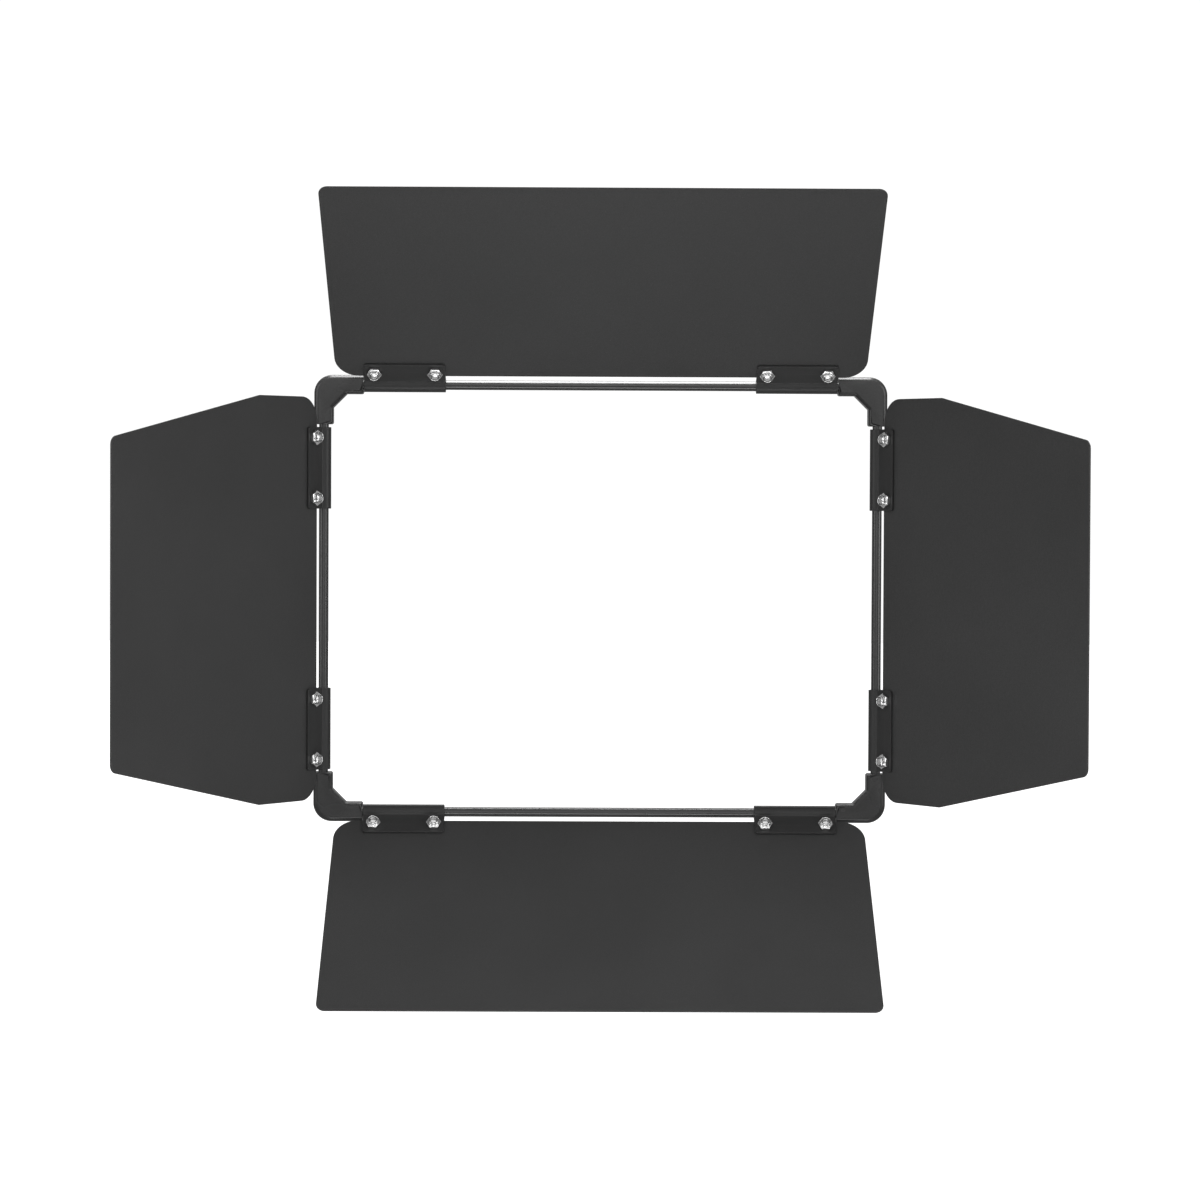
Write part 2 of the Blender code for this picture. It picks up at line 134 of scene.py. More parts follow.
# A strip close above the set, for the highlights along the rods and the elbows. Only they receive it.
STRIP_LIGHT = ("strip", (0, -0.005, 0.235), (0, -0.005, 0), 0.32, 0.12, 2.3)
STRIP_FINISHES = ("satin_black_rod", "elbow_texture")

SIDES = ("top", "bottom", "left", "right")
CORNERS = ("top_left", "top_right", "bottom_left", "bottom_right")

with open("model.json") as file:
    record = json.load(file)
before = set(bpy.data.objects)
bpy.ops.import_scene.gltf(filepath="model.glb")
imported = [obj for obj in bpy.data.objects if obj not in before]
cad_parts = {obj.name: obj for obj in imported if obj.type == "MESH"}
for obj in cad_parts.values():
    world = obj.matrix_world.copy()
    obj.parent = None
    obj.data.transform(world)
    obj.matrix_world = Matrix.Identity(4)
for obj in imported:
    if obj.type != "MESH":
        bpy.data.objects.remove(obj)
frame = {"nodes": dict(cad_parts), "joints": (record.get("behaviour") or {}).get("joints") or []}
cad_low, cad_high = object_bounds()


# Shapes


def arc(centre, radius, start, end, steps):
    """Points on an arc, both ends included. Angles are in radians."""
    angles = [start + (end - start) * step / steps for step in range(steps + 1)]
    return [(centre[0] + radius * math.cos(a), centre[1] + radius * math.sin(a)) for a in angles]


def circle(centre, radius):
    """A closed clockwise circle."""
    return arc(centre, radius, 2 * math.pi, 2 * math.pi / ROUND_STEPS, ROUND_STEPS - 1)


def rounded_outline(corners):
    """A closed outline through corners (x, y, radius), each rounded by an arc of its radius."""
    outline = []
    for index, (x, y, radius) in enumerate(corners):
        corner = Vector((x, y))
        before = (Vector(corners[index - 1][:2]) - corner).normalized()
        after = (Vector(corners[(index + 1) % len(corners)][:2]) - corner).normalized()
        if radius == 0:
            outline.append((x, y))
            continue
        half_angle = before.angle(after) / 2
        centre = corner + (before + after).normalized() * radius / math.sin(half_angle)
        start = corner + before * radius / math.tan(half_angle) - centre
        end = corner + after * radius / math.tan(half_angle) - centre
        first = math.atan2(start.y, start.x)
        turn = math.remainder(math.atan2(end.y, end.x) - first, 2 * math.pi)
        outline += arc(centre, radius, first, first + turn, CURVE_STEPS)
    return outline


def add_object(name, data):
    """A new object in the scene."""
    obj = bpy.data.objects.new(name, data)
    bpy.context.scene.collection.objects.link(obj)
    return obj


def evaluated(obj, name):
    """The object's mesh after its modifiers. The object is removed."""
    graph = bpy.context.evaluated_depsgraph_get()
    graph.update()
    mesh = bpy.data.meshes.new_from_object(obj.evaluated_get(graph))
    mesh.name = name
    bpy.data.objects.remove(obj, do_unlink=True)
    return mesh


def finished(obj, name):
    """The object's evaluated shape as a welded mesh. The object is removed."""
    mesh = evaluated(obj, name)
    bm = bmesh.new()
    bm.from_mesh(mesh)
    bmesh.ops.remove_doubles(bm, verts=bm.verts, dist=WELD_DISTANCE)
    bmesh.ops.dissolve_limit(bm, angle_limit=math.radians(0.1), verts=bm.verts, edges=bm.edges)
    bmesh.ops.recalc_face_normals(bm, faces=bm.faces)
    bm.to_mesh(mesh)
    bm.free()
    return mesh


def flat_curve(name, loops, extrude, rounding, cyclic=True):
    """A 2D curve in XY: filled between its loops if it is cyclic, else a ribbon."""
    curve = bpy.data.curves.new(name, "CURVE")
    curve.dimensions = "2D"
    curve.fill_mode = "BOTH" if cyclic else "NONE"
    curve.extrude = extrude - rounding
    curve.bevel_depth = rounding
    curve.offset = -rounding
    curve.bevel_resolution = 2
    for points in loops:
        spline = curve.splines.new("POLY")
        spline.points.add(len(points) - 1)
        for point, (x, y) in zip(spline.points, points):
            point.co = (x, y, 0, 1)
        spline.use_cyclic_u = cyclic
    return add_object(name, curve)


def cylinder(radius, low, high, steps=ROUND_STEPS):
    """A cylinder along Z from low to high."""
    mesh = bpy.data.meshes.new("cylinder")
    bm = bmesh.new()
    middle = Matrix.Translation((0, 0, (low + high) / 2))
    bmesh.ops.create_cone(
        bm, cap_ends=True, segments=steps, radius1=radius, radius2=radius, depth=high - low, matrix=middle
    )
    bm.to_mesh(mesh)
    bm.free()
    return mesh


def block(size):
    """A block of size (x, y, z), centred on the origin."""
    mesh = bpy.data.meshes.new("block")
    bm = bmesh.new()
    bmesh.ops.create_cube(bm, size=1, matrix=Matrix.Diagonal((*size, 1)))
    bm.to_mesh(mesh)
    bm.free()
    return mesh


def turned(name, profile, steps, closed=False):
    """A shape turned about Z. The profile (radius, height) runs down the outer side."""
    mesh = bpy.data.meshes.new(name)
    points = [(radius, 0, height) for radius, height in profile]
    edges = [(index, index + 1) for index in range(len(points) - 1)]
    if closed:
        edges.append((len(points) - 1, 0))
    mesh.from_pydata(points, edges, [])
    obj = add_object(name, mesh)
    screw = obj.modifiers.new("turn", "SCREW")
    screw.steps = steps
    screw.render_steps = steps
    screw.use_merge_vertices = True
    screw.merge_threshold = WELD_DISTANCE
    return finished(obj, name)


def combined(mesh, name, cuts, edge_rounding=0.0):
    """The mesh after Booleans, each (operation, mesh, matrix), with its sharp edges then rounded."""
    obj = add_object(name, mesh)
    cutters = []
    for operation, cutter_mesh, matrix in cuts:
        cutter = add_object(name + "_cutter", cutter_mesh)
        cutter.matrix_world = matrix
        cutters.append(cutter)
        modifier = obj.modifiers.new("cut", "BOOLEAN")
        modifier.operation = operation
        modifier.object = cutter
    result = finished(obj, name)
    for cutter in cutters:
        bpy.data.objects.remove(cutter, do_unlink=True)
    if edge_rounding:
        rounded = add_object(name, result)
        bevel = rounded.modifiers.new("rounding", "BEVEL")
        bevel.width = edge_rounding
        bevel.segments = 3
        bevel.limit_method = "ANGLE"
        bevel.angle_limit = math.radians(40)
        bevel.use_clamp_overlap = True
        result = finished(rounded, name)
    return result


def smooth(mesh, angle):
    """The mesh shaded smooth across edges below the angle, with its large flat faces kept flat."""
    mesh.shade_smooth()
    mesh.set_sharp_from_angle(angle=math.radians(angle))
    obj = add_object(mesh.name + "_shaded", mesh)
    weights = obj.modifiers.new("weights", "WEIGHTED_NORMAL")
    weights.mode = "FACE_AREA"
    weights.weight = 100
    weights.keep_sharp = True
    return evaluated(obj, mesh.name)


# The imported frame, read in each leaf's own axes


def hinge_frame(side):
    """A matrix whose X runs along the side's rod, Y out along its leaf and Z to the leaf's inner face."""
    joint = next(j for j in frame["joints"] if j["child"] == side + "_leaf_body")
    along = Vector(joint["axis"])
    leaf = frame["nodes"][side + "_leaf"].data
    normal = max(leaf.polygons, key=lambda polygon: polygon.area).normal.copy()
    if normal.y > 0:
        normal.negate()
    outward = normal.cross(along).normalized()
    matrix = Matrix((along, outward, normal)).transposed().to_4x4()
    matrix.translation = Vector(joint["pos_m"])
    return matrix


def elbow_frame(corner):
    """A matrix at a corner's crossing rod axes, its X and Y along the arms and its Z to the front."""
    vertical, horizontal = corner.split("_")
    row = next(j["pos_m"] for j in frame["joints"] if j["child"] == vertical + "_leaf_body")
    column = next(j["pos_m"] for j in frame["joints"] if j["child"] == horizontal + "_leaf_body")
    front = Vector((0, -1, 0))
    inward = Vector((-math.copysign(1, column[0]), 0, 0))
    across = Vector((0, 0, -math.copysign(1, row[2])))
    first, second = (inward, across) if inward.cross(across).dot(front) > 0 else (across, inward)
    matrix = Matrix((first, second, front)).transposed().to_4x4()
    matrix.translation = Vector((column[0], row[1], row[2]))
    return matrix


def extent(node, matrix):
    """Lowest and highest corner of a CAD node in the axes of a matrix."""
    back = matrix.inverted()
    points = [back @ vertex.co for vertex in frame["nodes"][node].data.vertices]
    low = Vector([min(point[axis] for point in points) for axis in range(3)])
    high = Vector([max(point[axis] for point in points) for axis in range(3)])
    return low, high


def members(side, kind):
    """The side's nodes of one kind, such as its clips, in order."""
    prefix = f"{side}_{kind}_"
    return sorted(name for name in frame["nodes"] if name.startswith(prefix))


def middle(node, matrix):
    """The middle of a CAD node's box in the axes of a matrix."""
    low, high = extent(node, matrix)
    return (low + high) / 2


HINGES = {side: hinge_frame(side) for side in SIDES}
ELBOWS = {corner: elbow_frame(corner) for corner in CORNERS}
LEAF_LOW, LEAF_HIGH = extent("top_leaf", HINGES["top"])
LEAF_HALF_SHEET = (LEAF_HIGH.z - LEAF_LOW.z) / 2
CLIP_LOW, CLIP_HIGH = extent("top_clip_1", HINGES["top"])
CLIP_LENGTH = CLIP_HIGH.x - CLIP_LOW.x
CLIP_REACH = CLIP_HIGH.y
CLIP_LOOP_OUTER = CLIP_HIGH.z
NUT_LOW, NUT_HIGH = extent("top_nut_1", HINGES["top"])
SCREW_LOW, SCREW_HIGH = extent("top_screw_1", HINGES["top"])
NUT_HEIGHT = NUT_HIGH.z - NUT_LOW.z
SCREW_HEAD_RADIUS = (SCREW_HIGH.x - SCREW_LOW.x) / 2
SCREW_OUT = (SCREW_LOW.y + SCREW_HIGH.y) / 2
CLIP_FACE = NUT_LOW.z - NUT_SEAT_GAP
ROD_LOW, ROD_HIGH = extent("top_rod", HINGES["top"])
ROD_RADIUS = (ROD_HIGH.z - ROD_LOW.z) / 2
ELBOW_LOW, ELBOW_HIGH = extent("top_left_elbow", ELBOWS["top_left"])
SET_LOW, SET_HIGH = extent("top_left_set_screw_1", ELBOWS["top_left"])


# Fine pieces


def screw_spots(side):
    """Where the side's screws pass through its leaf, as (along the rod, out from it)."""
    return [(middle(node, HINGES[side]).x, SCREW_OUT) for node in members(side, "screw")]


def leaf(side, corners):
    """A flat leaf with the given corners and its screw holes."""
    holes = [circle(spot, SCREW_HOLE_RADIUS) for spot in screw_spots(side)]
    loops = [rounded_outline(corners)] + holes
    curve = flat_curve(side + "_leaf_fine", loops, LEAF_HALF_SHEET, LEAF_EDGE_ROUNDING)
    return smooth(finished(curve, side + "_leaf_fine"), 40)


def wide_leaf(side):
    """A top or bottom leaf, wider at its tip than at its hinge."""
    low, high = extent(side + "_leaf", HINGES[side])
    return leaf(
        side,
        [
            (-WIDE_LEAF_INNER_HALF, low.y, LEAF_INNER_CORNER),
            (WIDE_LEAF_INNER_HALF, low.y, LEAF_INNER_CORNER),
            (high.x, high.y, LEAF_OUTER_CORNER),
            (low.x, high.y, LEAF_OUTER_CORNER),
        ],
    )


def side_leaf(side):
    """A left or right leaf, straight near its hinge and then tapering to its tip."""
    low, high = extent(side + "_leaf", HINGES[side])
    return leaf(
        side,
        [
            (low.x, low.y, LEAF_INNER_CORNER),
            (high.x, low.y, LEAF_INNER_CORNER),
            (high.x, SIDE_LEAF_TAPER_START, SIDE_LEAF_TAPER_CORNER),
            (SIDE_LEAF_TIP_HALF, high.y, LEAF_OUTER_CORNER),
            (-SIDE_LEAF_TIP_HALF, high.y, LEAF_OUTER_CORNER),
            (low.x, SIDE_LEAF_TAPER_START, SIDE_LEAF_TAPER_CORNER),
        ],
    )


def clip_fold():
    """The middle line of the folded strip: out along one flange, round the rod, back along the other."""
    loop = CLIP_LOOP_OUTER - CLIP_SHEET / 2
    flange = CLIP_FACE - CLIP_SHEET / 2
    crease_height = flange + CLIP_CREASE
    crease_out = math.sqrt((loop + CLIP_CREASE) ** 2 - crease_height**2)
    lean = math.atan2(crease_height, crease_out)
    side = [(CLIP_REACH + OVERCUT, flange)]
    side += arc((crease_out, crease_height), CLIP_CREASE, -math.pi / 2, lean - math.pi, CURVE_STEPS)
    upper = side + arc((0, 0), loop, lean, math.pi, ROUND_STEPS // 2)[1:]
    lower = [(out, -height) for out, height in reversed(upper[:-1])]
    return upper + lower


def clip():
    """A clip, its loop round X and its flanges towards +Y, above and below the leaf."""
    ribbon = flat_curve("clip_ribbon", [clip_fold()], CLIP_LENGTH / 2 + OVERCUT, 0, cyclic=False)
    strip = add_object("clip_strip", finished(ribbon, "clip_strip"))
    solid = strip.modifiers.new("thickness", "SOLIDIFY")
    solid.thickness = CLIP_SHEET
    solid.offset = 0
    solid.use_even_offset = True
    folded = finished(strip, "clip_folded")
    # The fold was drawn out along X and up along Y: turn it to out along Y and up along Z.
    folded.transform(Matrix(((0, 0, 1, 0), (1, 0, 0, 0), (0, 1, 0, 0), (0, 0, 0, 1))))
    half = CLIP_LENGTH / 2
    behind = -2 * CLIP_REACH
    blank = rounded_outline(
        [
            (-half, behind, 0),
            (half, behind, 0),
            (half, CLIP_REACH, CLIP_CORNER),
            (-half, CLIP_REACH, CLIP_CORNER),
        ]
    )
    trim = finished(flat_curve("clip_blank", [blank], 2 * CLIP_REACH, 0), "clip_blank")
    hole = cylinder(SCREW_HOLE_RADIUS, -CLIP_REACH, CLIP_REACH)
    pitch = middle("top_screw_2", HINGES["top"]).x - middle("top_screw_1", HINGES["top"]).x
    cuts = [("INTERSECT", trim, Matrix.Identity(4))]
    for step in (-1, 1):
        cuts.append(("DIFFERENCE", hole, Matrix.Translation((step * pitch / 2, SCREW_OUT, 0))))
    return smooth(combined(folded, "clip_fine", cuts, CLIP_EDGE_ROUNDING), 40)


def thread(high, low, crest):
    """Crests and roots of a thread down the outer side of a shank."""
    profile = []
    height = high
    while height > low + THREAD_PITCH:
        profile.append((crest, height - THREAD_PITCH * 0.1))
        profile.append((crest - THREAD_DEPTH, height - THREAD_PITCH * 0.55))
        height -= THREAD_PITCH
    return profile


def screw():
    """A pan-head screw along Z: its threaded end up, its cross-recessed head down."""
    underside = -CLIP_FACE
    head = underside - SCREW_LOW.z
    tip = SCREW_HIGH.z
    end = SCREW_RADIUS - SCREW_CHAMFER
    thread_start = tip - SCREW_END_DOME - SCREW_CHAMFER
    profile = []
    for step in range(END_STEPS + 1):
        across = step / END_STEPS
        profile.append((end * across, tip - SCREW_END_DOME * across**2))
    profile.append((SCREW_RADIUS - THREAD_DEPTH * 0.3, thread_start))
    profile += thread(thread_start, underside + 0.5 * MM, SCREW_RADIUS)
    profile += [(SCREW_RADIUS, underside), (SCREW_HEAD_RADIUS - SCREW_HEAD_EDGE, underside)]
    profile.append((SCREW_HEAD_RADIUS, underside - SCREW_HEAD_EDGE))
    dome_low = underside - head
    dome_start = underside - head * 0.3
    for step in range(HEAD_STEPS + 1):
        angle = math.pi / 2 * step / HEAD_STEPS
        radius = SCREW_HEAD_RADIUS * math.cos(angle) ** 0.6 if step < HEAD_STEPS else 0
        profile.append((radius, dome_start + (dome_low - dome_start) * math.sin(angle)))
    body = turned("screw_body", profile, ROUND_STEPS)
    slot = block((RECESS_SPAN, RECESS_WIDTH, 2 * RECESS_DEPTH))
    down = Matrix.Translation((0, 0, dome_low))
    cuts = [("DIFFERENCE", slot, down), ("DIFFERENCE", slot, down @ Matrix.Rotation(math.pi / 2, 4, "Z"))]
    return smooth(combined(body, "screw_fine", cuts), 35)


def nut():
    """A lock nut along Z, seated at Z = 0: a chamfered hexagon, a groove and a rolled collar."""
    corner = NUT_ACROSS_FLATS / math.sqrt(3)
    bore = SCREW_RADIUS + NUT_BORE_CLEARANCE
    top = NUT_HEIGHT
    shoulder = top * NUT_HEX_SHARE
    roll = NUT_COLLAR_ROLL
    roll_centre = NUT_COLLAR - roll
    rim = NYLON_OUTER - 0.1 * MM
    crown = NUT_ACROSS_FLATS / 2 - NUT_CROWN_INSET
    drop = (corner - crown) * math.tan(NUT_CHAMFER)
    profile = [(rim, top - 0.3 * MM), (rim + 0.04 * MM, top - 0.1 * MM)]
    profile += arc((roll_centre, top - roll), roll, math.radians(80), 0, 8)
    profile += arc((roll_centre, shoulder + roll + 0.1 * MM), roll, 0, math.radians(-50), 4)
    profile += [
        (NUT_WAIST, shoulder + 0.05 * MM),
        (NUT_WAIST + 0.08 * MM, shoulder),
        (crown, shoulder),
        (corner, shoulder - drop),
        (corner, drop),
        (crown, 0.02 * MM),
        (bore, 0.02 * MM),
        (bore, top - NYLON_POCKET),
        (rim, top - NYLON_POCKET),
    ]
    body = turned("nut_body", profile, NUT_STEPS, closed=True)
    hexagon = cylinder(corner * 0.985, -OVERCUT, top + OVERCUT, 6)
    hexagon.transform(Matrix.Rotation(math.pi / 2, 4, "Z"))
    cuts = [("INTERSECT", hexagon, Matrix.Identity(4))]
    return smooth(combined(body, "nut_fine", cuts, NUT_EDGE_ROUNDING), 40)


def nylon_ring():
    """The ring that grips the thread, held under the rolled rim of the nut's collar."""
    inner = SCREW_RADIUS + 0.02 * MM
    outer = NYLON_OUTER - 0.04 * MM
    top = NUT_HEIGHT - 0.16 * MM
    profile = [(inner, top - 0.12 * MM), (inner + 0.12 * MM, top), (outer - 0.1 * MM, top)]
    profile += [(outer, top - 0.1 * MM), (outer, top - 0.7 * MM), (inner, top - 0.7 * MM)]
    return smooth(turned("nylon_ring_fine", profile, ROUND_STEPS, closed=True), 35)


def rod(side):
    """A rod along X with broken edges at its ends."""
    low, high = extent(side + "_rod", HINGES[side])
    chamfer = 0.4 * MM
    profile = [
        (0, high.x),
        (ROD_RADIUS - chamfer, high.x),
        (ROD_RADIUS, high.x - chamfer),
        (ROD_RADIUS, low.x + chamfer),
        (ROD_RADIUS - chamfer, low.x),
        (0, low.x),
    ]
    mesh = turned(side + "_rod_fine", profile, ROUND_STEPS)
    mesh.transform(Matrix.Rotation(math.pi / 2, 4, "Y"))
    return smooth(mesh, 35)


def round_long_edges(mesh, height, outer_radius, inner_radius):
    """Rounds the edges at a height of Z: the outer ones, then the inner ones, but not the arms' ends."""
    bm = bmesh.new()
    bm.from_mesh(mesh)
    end = ELBOW_HIGH.x - WELD_DISTANCE
    for radius, outer in ((outer_radius, True), (inner_radius, False)):
        edges = []
        for edge in bm.edges:
            a, b = edge.verts[0].co, edge.verts[1].co
            level = abs(a.z - height) < WELD_DISTANCE and abs(b.z - height) < WELD_DISTANCE
            across_end = (a.x > end and b.x > end) or (a.y > end and b.y > end)
            outside = min(a.x, a.y, b.x, b.y) < 0
            if level and not across_end and outside == outer:
                edges.append(edge)
        bmesh.ops.bevel(
            bm, geom=edges, offset=radius, segments=10, profile=0.5, affect="EDGES", clamp_overlap=False
        )
    bm.to_mesh(mesh)
    bm.free()


def elbow():
    """An elbow with its axes crossing at the origin, its arms to +X and +Y and its front towards +Z."""
    outer = ELBOW_LOW.x
    arm = ELBOW_HIGH.x
    inner = ELBOW_INNER
    inside = inner + ELBOW_GUSSET
    soft = 0.6 * MM
    outline = rounded_outline(
        [
            (outer, outer, ELBOW_OUTER_CORNER),
            (arm, outer, 0),
            (arm, inner, ELBOW_END_CORNER),
            (inside, inner, soft),
            (inner, inside, soft),
            (inner, arm, ELBOW_END_CORNER),
            (outer, arm, 0),
        ]
    )
    depth = ELBOW_HIGH.z - ELBOW_LOW.z
    blank = finished(flat_curve("elbow_blank", [outline], depth / 2, 0), "elbow_blank")
    blank.transform(Matrix.Translation((0, 0, (ELBOW_HIGH.z + ELBOW_LOW.z) / 2)))
    round_long_edges(blank, ELBOW_HIGH.z, ELBOW_OUTER_ROUNDING, ELBOW_INNER_ROUNDING)
    round_long_edges(blank, ELBOW_LOW.z, ELBOW_BACK_ROUNDING, ELBOW_BACK_ROUNDING)
    socket = cylinder(ROD_RADIUS + 0.06 * MM, arm - SOCKET_DEPTH, arm + OVERCUT)
    set_radius = (SET_HIGH.y - SET_LOW.y) / 2 + SET_SCREW_CLEARANCE
    tapped = cylinder(set_radius, 0, -ELBOW_LOW.z + OVERCUT)
    set_from_crossing = (SET_LOW.x + SET_HIGH.x) / 2
    cuts = []
    for turn in (Matrix.Rotation(math.pi / 2, 4, "Y"), Matrix.Rotation(-math.pi / 2, 4, "X")):
        along = turn @ Vector((0, 0, set_from_crossing))
        cuts.append(("DIFFERENCE", socket, turn))
        cuts.append(("DIFFERENCE", tapped, Matrix.Translation(along) @ Matrix.Rotation(math.pi, 4, "X")))
    return smooth(combined(blank, "elbow_fine", cuts, ELBOW_EDGE_ROUNDING), 40)


def set_screw():
    """A set screw along Z with a hexagon socket in its upper end."""
    radius = (SET_HIGH.y - SET_LOW.y) / 2
    top = -SET_LOW.z
    point = -SET_HIGH.z
    chamfer = 0.25 * MM
    profile = [(0, top), (radius - chamfer, top)]
    profile += [(radius, top - chamfer), (radius, point + chamfer), (radius - chamfer, point), (0, point)]
    body = turned("set_screw_body", profile, ROUND_STEPS)
    socket = cylinder(SET_SCREW_HEX / math.sqrt(3), top - SET_SCREW_HEX_DEPTH, top + OVERCUT, 6)
    return smooth(combined(body, "set_screw_fine", [("DIFFERENCE", socket, Matrix.Identity(4))]), 35)


# Materials


class Nodes:
    """A node tree, with short ways to add nodes to it."""

    def __init__(self, tree):
        self.tree = tree

    def node(self, kind, inputs=None, **settings):
        node = self.tree.nodes.new(kind)
        for key, value in settings.items():
            setattr(node, key, value)
        for key, value in (inputs or {}).items():
            if isinstance(value, bpy.types.NodeSocket):
                self.tree.links.new(value, node.inputs[key])
            else:
                node.inputs[key].default_value = value
        return node

    def math(self, operation, first, second=0.0):
        return self.node("ShaderNodeMath", {0: first, 1: second}, operation=operation).outputs[0]

    def ramp(self, value, low, high, to_low, to_high):
        """A value carried from one range to another, and held inside it."""
        inputs = {"Value": value, "From Min": low, "From Max": high, "To Min": to_low, "To Max": to_high}
        return self.node("ShaderNodeMapRange", inputs).outputs["Result"]

    def camera_ray(self):
        """1 where the camera looks straight at the surface, 0 for all other light."""
        return self.node("ShaderNodeLightPath").outputs["Is Camera Ray"]


class Shading(Nodes):
    """A material's node tree and its surface."""

    def __init__(self, name):
        self.material = bpy.data.materials.new(name)
        self.material.use_nodes = True
        super().__init__(self.material.node_tree)
        self.surface = self.tree.nodes["Principled BSDF"]

    def noise(self, place, scale, detail=2.0, roughness=0.5):
        inputs = {"Vector": place, "Scale": scale, "Detail": detail, "Roughness": roughness}
        return self.node("ShaderNodeTexNoise", inputs).outputs["Fac"]

    def place(self, stretch=(1.0, 1.0, 1.0)):
        """Object coordinates, shifted by a different amount for each object and stretched."""
        coordinates = self.node("ShaderNodeTexCoord").outputs["Object"]
        number = self.node("ShaderNodeObjectInfo").outputs["Random"]
        shift = self.node("ShaderNodeVectorMath", {0: (3.1, 1.7, 2.3)}, operation="SCALE")
        self.tree.links.new(number, shift.inputs["Scale"])
        moved = self.node("ShaderNodeVectorMath", {0: coordinates, 1: shift.outputs[0]}, operation="ADD")
        return self.node("ShaderNodeMapping", {"Vector": moved.outputs[0], "Scale": stretch}).outputs[0]

    def grey(self, value):
        return self.node("ShaderNodeCombineColor", {0: value, 1: value, 2: value}).outputs[0]

    def convex(self, low, high):
        """1 on convex edges of the mesh, 0 elsewhere."""
        pointiness = self.node("ShaderNodeNewGeometry").outputs["Pointiness"]
        return self.ramp(pointiness, low, high, 0.0, 1.0)

    def set(self, name, value):
        if isinstance(value, bpy.types.NodeSocket):
            self.tree.links.new(value, self.surface.inputs[name])
        else:
            self.surface.inputs[name].default_value = value

    def bump(self, height, distance, strength=1.0):
        inputs = {"Height": height, "Distance": distance, "Strength": strength}
        self.set("Normal", self.node("ShaderNodeBump", inputs).outputs[0])


def powder_coat(name, tone, grain_size, grain_depth, roughness, specular, wear):
    """Powder coat: fine grains over a slow orange peel, faint mottling and, with wear, paler rubbed edges."""
    shading = Shading(name)
    place = shading.place()
    grain = shading.noise(place, 1 / grain_size, 3.0, 0.65)
    peel = shading.noise(place, 1 / (5 * grain_size), 1.5)
    mottle = shading.noise(place, 14.0, 4.0, 0.6)
    specks = shading.ramp(shading.noise(place, 0.6 / grain_size, 1.0), 0.70, 0.78, 0.0, 1.0)
    worn = shading.math("MULTIPLY", shading.convex(0.53, 0.62), shading.noise(place, 900.0, 3.0))
    grain_tone = shading.ramp(grain, 0.3, 0.7, 0.72, 1.28)
    mottle_tone = shading.ramp(mottle, 0.3, 0.7, 0.93, 1.07)
    value = shading.math("MULTIPLY", shading.math("MULTIPLY", grain_tone, mottle_tone), tone)
    value = shading.math("ADD", value, shading.math("MULTIPLY", specks, tone * 0.5))
    value = shading.math("ADD", value, shading.math("MULTIPLY", worn, tone * wear))
    shading.set("Base Color", shading.grey(value))
    shading.set("Roughness", shading.ramp(mottle, 0.3, 0.7, roughness - 0.04, roughness + 0.04))
    shading.set("Specular IOR Level", specular)
    shading.bump(shading.math("ADD", shading.math("MULTIPLY", grain, 0.6), peel), grain_depth)
    return shading.material


def rod_finish():
    """Satin black plating with fine marks drawn along the rod."""
    shading = Shading("satin_black_rod")
    along = shading.place((12.0, 1500.0, 1500.0))
    drawn = shading.noise(along, 1.0, 3.0, 0.6)
    mottle = shading.noise(shading.place(), 60.0, 3.0)
    shading.set("Base Color", shading.grey(shading.ramp(drawn, 0.3, 0.7, 0.010, 0.018)))
    shading.set("Roughness", shading.ramp(mottle, 0.3, 0.7, 0.24, 0.34))
    shading.set("Specular IOR Level", 0.45)
    shading.set("Coat Weight", 0.2)
    shading.set("Coat Roughness", 0.12)
    shading.bump(drawn, 0.004 * MM)
    return shading.material


def zinc(name, tone, roughness):
    """Bright zinc plate: fine turning marks, faint clouding and painted shade that darkens its creases."""
    shading = Shading(name)
    place = shading.place()
    rings = shading.noise(shading.place((400.0, 400.0, 9000.0)), 1.0, 2.0)
    cloud = shading.noise(place, 700.0, 4.0, 0.6)
    # Painted shade: the colour falls to a quarter where the surface is concave, as in thread roots and the
    # groove under the nut's collar.
    painted_crease_shade = shading.ramp(shading.node("ShaderNodeNewGeometry").outputs["Pointiness"], 0.42, 0.5, 0.25, 1.0)
    value = shading.math("MULTIPLY", shading.ramp(cloud, 0.3, 0.7, tone * 0.86, tone), painted_crease_shade)
    shading.set("Base Color", shading.grey(value))
    shading.set("Metallic", 1.0)
    shading.set("Roughness", shading.ramp(cloud, 0.3, 0.7, roughness - 0.05, roughness + 0.06))
    shading.bump(shading.math("ADD", rings, cloud), 0.003 * MM)
    return shading.material


def nylon():
    """Dull grey nylon, a little rough where the thread has cut it."""
    shading = Shading("nylon")
    cut = shading.noise(shading.place(), 2500.0, 3.0)
    shading.set("Base Color", shading.grey(shading.ramp(cut, 0.3, 0.7, 0.10, 0.16)))
    shading.set("Roughness", 0.5)
    shading.bump(cut, 0.02 * MM)
    return shading.material


def black_oxide():
    """Blackened steel with pale specks where the key has rubbed."""
    shading = Shading("black_oxide")
    cloud = shading.noise(shading.place(), 1800.0, 4.0, 0.6)
    worn = shading.math("MULTIPLY", shading.convex(0.53, 0.60), cloud)
    dark = shading.ramp(cloud, 0.3, 0.7, 0.022, 0.036)
    value = shading.math("ADD", dark, shading.math("MULTIPLY", worn, 0.2))
    shading.set("Base Color", shading.grey(value))
    shading.set("Metallic", 0.7)
    shading.set("Roughness", 0.42)
    shading.bump(cloud, 0.01 * MM)
    return shading.material


